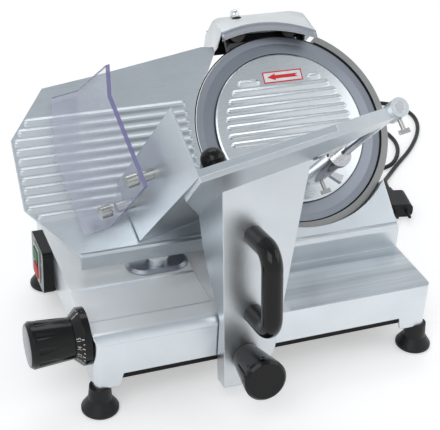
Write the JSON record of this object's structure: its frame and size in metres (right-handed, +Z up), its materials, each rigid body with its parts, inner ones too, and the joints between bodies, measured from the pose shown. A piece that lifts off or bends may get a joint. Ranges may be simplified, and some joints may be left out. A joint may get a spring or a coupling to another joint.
{
  "type": "meat slicer",
  "caption": "Tilted gravity-feed meat slicer with a round motor-driven blade, sliding food tray, thickness dial, pusher, clear guard and sharpener.",
  "frame": {"origin": "middle of the machine's footprint on the table, without its mains lead", "axes": "+X to the operator's right along the front skirt, +Y away from the operator, +Z up"},
  "size_m": [0.8133, 0.7457, 0.3815],
  "materials": {
    "cast_aluminium": "satin cast and ground",
    "polished_aluminium": "anodised, brushed",
    "sheet_steel": "brushed",
    "blade_steel": "fine ground",
    "ring_grey": "satin",
    "black_rubber": "matt",
    "black_plastic": "moulded gloss",
    "black_sheet": "black paint",
    "bright_steel": "bright",
    "motor_paint": "dark paint",
    "bush_bronze": "turned",
    "clear_plastic": "clear cast",
    "green_plastic": "moulded",
    "red_plastic": "moulded",
    "button_black": "moulded",
    "stone": "bonded grit"
  },
  "bodies": {
    "base": {"base_casting": "cast_aluminium", "feet": "black_rubber", "bottom_cover": "black_sheet", "cover_screws": "bright_steel", "spindle_bearings": "bright_steel", "cover_plate": "polished_aluminium", "ring_guard": "ring_grey", "motor_can": "motor_paint", "drive_belt": "black_rubber", "gauge_guides": "bright_steel", "switch_housing": "black_plastic", "rail_rod": "bright_steel", "slice_deflector": "sheet_steel", "cord_gland": "black_rubber", "cord_start": "black_rubber", "cord_coil": "black_rubber", "cord_lead": "black_rubber", "mains_plug": "black_rubber"},
    "blade_unit": {"blade": "blade_steel", "blade_hub": "cast_aluminium", "blade_screws": "bright_steel", "spindle": "sheet_steel"},
    "release": {"release_knob": "black_plastic", "tie_bolt": "bright_steel"},
    "motor": {"motor_rotor": "bright_steel", "motor_pulley": "bright_steel"},
    "gauge": {"gauge_plate": "polished_aluminium", "gauge_support": "cast_aluminium", "gauge_screws": "bright_steel", "gauge_slide": "cast_aluminium", "dust_cover": "bright_steel"},
    "dial": {"dial_scale": "black_plastic", "dial_knob": "black_plastic", "dial_shaft": "bright_steel"},
    "start": {"start_button": "green_plastic"},
    "stop": {"stop_button": "red_plastic"},
    "carriage": {"slide_block": "cast_aluminium", "rail_bushes": "bush_bronze", "carriage_casting": "cast_aluminium", "carriage_handle": "black_plastic", "handle_bolts": "bright_steel", "product_tray": "polished_aluminium", "clear_guard": "clear_plastic", "guard_spacers": "bright_steel", "guard_nuts": "bright_steel", "pusher_rod": "bright_steel"},
    "clamp": {"clamp_knob": "black_plastic"},
    "rod_screw": {"rod_thumbscrew": "bright_steel"},
    "pusher_bush_body": {"pusher_bush": "bush_bronze"},
    "pusher": {"pusher_sleeve": "bright_steel", "pusher_plate": "sheet_steel", "pusher_knob": "black_plastic"},
    "pusher_screw": {"pusher_thumbscrew": "bright_steel"},
    "sharpener": {"sharpener_hood": "sheet_steel", "sharpener_body": "cast_aluminium"},
    "lift_knob": {"sharpener_knob": "bright_steel"},
    "push_left": {"push_button_left": "button_black"},
    "push_right": {"push_button_right": "button_black"},
    "stone_left": {"sharpening_stone_left": "stone"},
    "stone_right": {"sharpening_stone_right": "stone"}
  },
  "joints": [
    {"name": "carriage_travel", "type": "slide", "parent": "base", "child": "carriage", "axis": [1, 0, 0], "range_m": [-0.1, 0.15]},
    {"name": "clamp_turn", "type": "hinge", "parent": "carriage", "child": "clamp", "pos_m": [-0.0208, -0.15883, 0.06057], "axis": [0, -0.988, 0.1547], "range_deg": [0, 360]},
    {"name": "rod_screw_turn", "type": "hinge", "parent": "carriage", "child": "rod_screw", "pos_m": [0.13269, -0.15773, 0.35444], "axis": [0.1736, -0.6964, -0.6964], "range_deg": [0, 360]},
    {"name": "pusher_travel", "type": "slide", "parent": "carriage", "child": "pusher_bush_body", "axis": [0, -0.7071, 0.7071], "range_m": [0, 0.115]},
    {"name": "pusher_swing", "type": "hinge", "parent": "pusher_bush_body", "child": "pusher", "pos_m": [0.13269, 0.01269, 0.18403], "axis": [0, -0.7071, 0.7071], "range_deg": [-110, 0]},
    {"name": "pusher_screw_turn", "type": "hinge", "parent": "pusher", "child": "pusher_screw", "pos_m": [0.13269, 0.0042, 0.19251], "axis": [0.1736, -0.6964, -0.6964], "range_deg": [0, 360]},
    {"name": "gauge_travel", "type": "slide", "parent": "base", "child": "gauge", "axis": [0, 1, 0], "range_m": [0, 0.0209]},
    {"name": "dial_turn", "type": "hinge", "parent": "base", "child": "dial", "pos_m": [-0.1943, -0.1004, 0.088], "axis": [1, 0, 0], "range_deg": [0, 300]},
    {"name": "start_press", "type": "slide", "parent": "base", "child": "start", "axis": [1, 0, 0], "range_m": [0, 0.003], "stiffness_N_per_m": 400, "springref_m": -0.001},
    {"name": "stop_press", "type": "slide", "parent": "base", "child": "stop", "axis": [1, 0, 0], "range_m": [0, 0.003], "stiffness_N_per_m": 400, "springref_m": -0.001},
    {"name": "blade_spin", "type": "hinge", "parent": "base", "child": "blade_unit", "pos_m": [0.1262, 0.0816, 0.219], "axis": [0, -0.7071, 0.7071], "continuous": true},
    {"name": "motor_spin", "type": "hinge", "parent": "base", "child": "motor", "pos_m": [0.1262, 0.03069, 0.16809], "axis": [0, -0.7071, 0.7071], "continuous": true},
    {"name": "release_turn", "type": "hinge", "parent": "base", "child": "release", "pos_m": [0.1262, 0.13958, 0.16102], "axis": [0, -0.7071, 0.7071], "range_deg": [0, 360]},
    {"name": "sharpener_lift", "type": "slide", "parent": "base", "child": "sharpener", "axis": [0, 0.7071, 0.7071], "range_m": [0, 0.036]},
    {"name": "lift_knob_turn", "type": "hinge", "parent": "sharpener", "child": "lift_knob", "pos_m": [0.0902, 0.19544, 0.32436], "axis": [0, 0.7071, 0.7071], "range_deg": [0, 360]},
    {"name": "push_left_press", "type": "slide", "parent": "sharpener", "child": "push_left", "axis": [0, -0.7071, 0.7071], "range_m": [0, 0.004], "stiffness_N_per_m": 500, "springref_m": -0.001},
    {"name": "stone_left_spin", "type": "hinge", "parent": "push_left", "child": "stone_left", "pos_m": [0.0882, 0.17883, 0.31623], "axis": [0, -0.7071, 0.7071], "continuous": true},
    {"name": "push_right_press", "type": "slide", "parent": "sharpener", "child": "push_right", "axis": [0, -0.7071, 0.7071], "range_m": [0, 0.004], "stiffness_N_per_m": 500, "springref_m": -0.001},
    {"name": "stone_right_spin", "type": "hinge", "parent": "push_right", "child": "stone_right", "pos_m": [0.1622, 0.17883, 0.31623], "axis": [0, -0.7071, 0.7071], "continuous": true}
  ],
  "couplings": [
    {"joint": "dial_turn", "follows": "gauge_travel", "rad_per_m": 250},
    {"joint": "motor_spin", "follows": "blade_spin", "ratio": 3.25}
  ]
}
